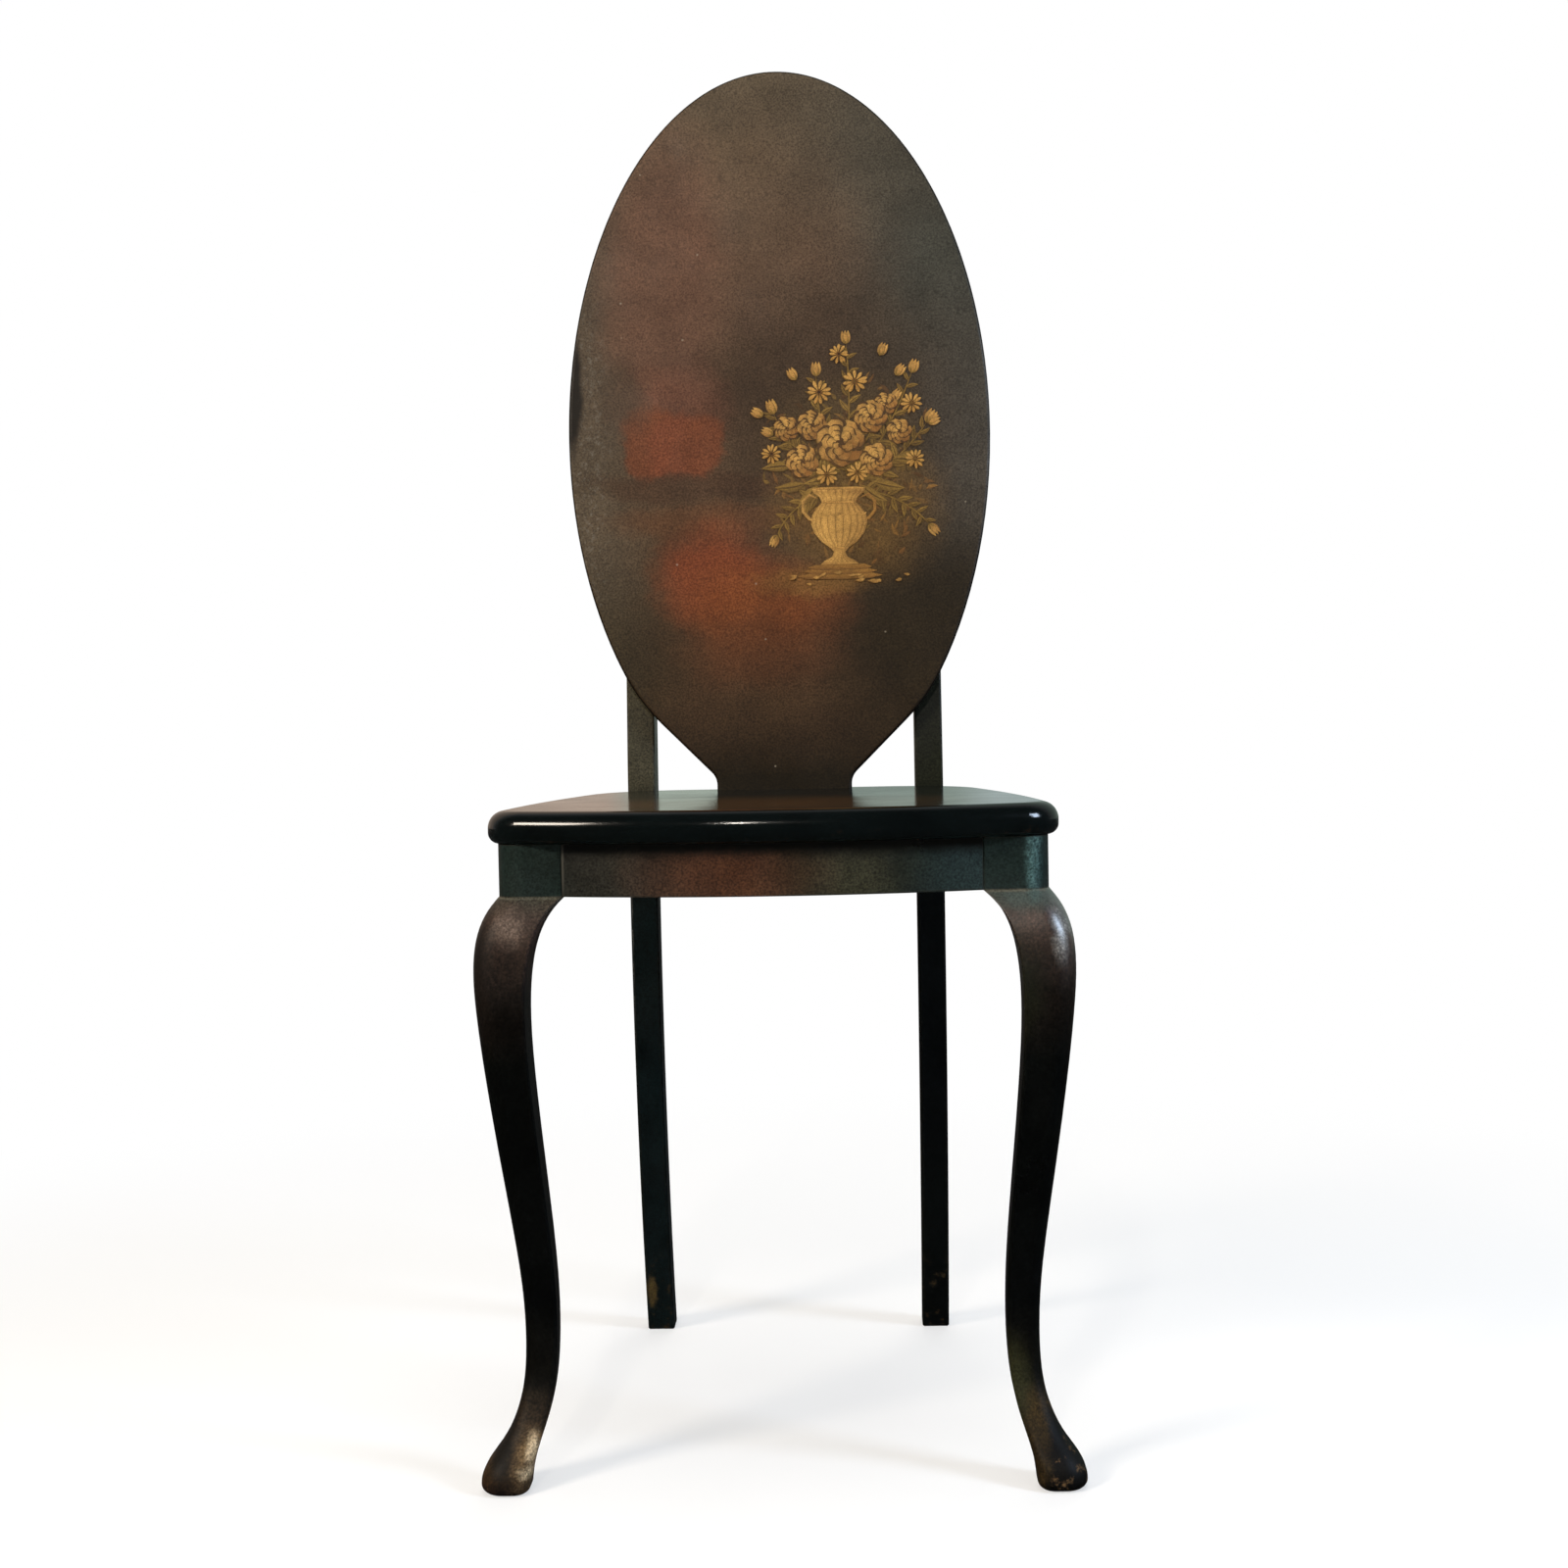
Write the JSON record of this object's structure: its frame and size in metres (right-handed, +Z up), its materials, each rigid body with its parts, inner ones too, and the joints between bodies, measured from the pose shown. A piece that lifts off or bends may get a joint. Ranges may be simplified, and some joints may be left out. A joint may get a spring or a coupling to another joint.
{
  "type": "side chair",
  "caption": "Parlour side chair with a painted oval back on a flared neck, a bowed seat board with a rolled edge, cabriole front legs and slim rear posts.",
  "frame": {"origin": "on the floor, in the middle of the chair's overall width and depth", "axes": "+Z up, -Y towards the sitter's front, +X to the right in the picture (the sitter's left)"},
  "size_m": [0.3956, 0.439, 1.0107],
  "materials": {
    "panel_lacquer": "aged satin lacquer over olive brown",
    "seat_lacquer": "glossy aged lacquer, near black",
    "rail_lacquer": "aged satin lacquer, teal black",
    "leg_lacquer": "worn satin lacquer, reddish brown",
    "post_lacquer": "aged satin lacquer, olive black",
    "block_wood": "bare sawn softwood",
    "dowel_wood": "bare turned beech",
    "screw_steel": "dulled by age"
  },
  "bodies": {
    "root": {"seat_board": "seat_lacquer", "back_panel": "panel_lacquer", "front_rail": "rail_lacquer", "rear_rail": "rail_lacquer", "side_rail_right": "rail_lacquer", "side_rail_left": "rail_lacquer", "front_leg_right": "leg_lacquer", "front_leg_left": "leg_lacquer", "rear_post_right": "post_lacquer", "rear_post_left": "post_lacquer", "corner_block_front_right": "block_wood", "corner_block_front_left": "block_wood", "corner_block_rear_right": "block_wood", "corner_block_rear_left": "block_wood", "front_rail_dowels": "dowel_wood", "rear_rail_dowels": "dowel_wood", "side_rail_front_dowels": "dowel_wood", "side_rail_rear_dowels": "dowel_wood", "panel_screws": "screw_steel", "neck_screws": "screw_steel", "seat_screws": "screw_steel", "corner_block_screws": "screw_steel"}
  },
  "joints": []
}
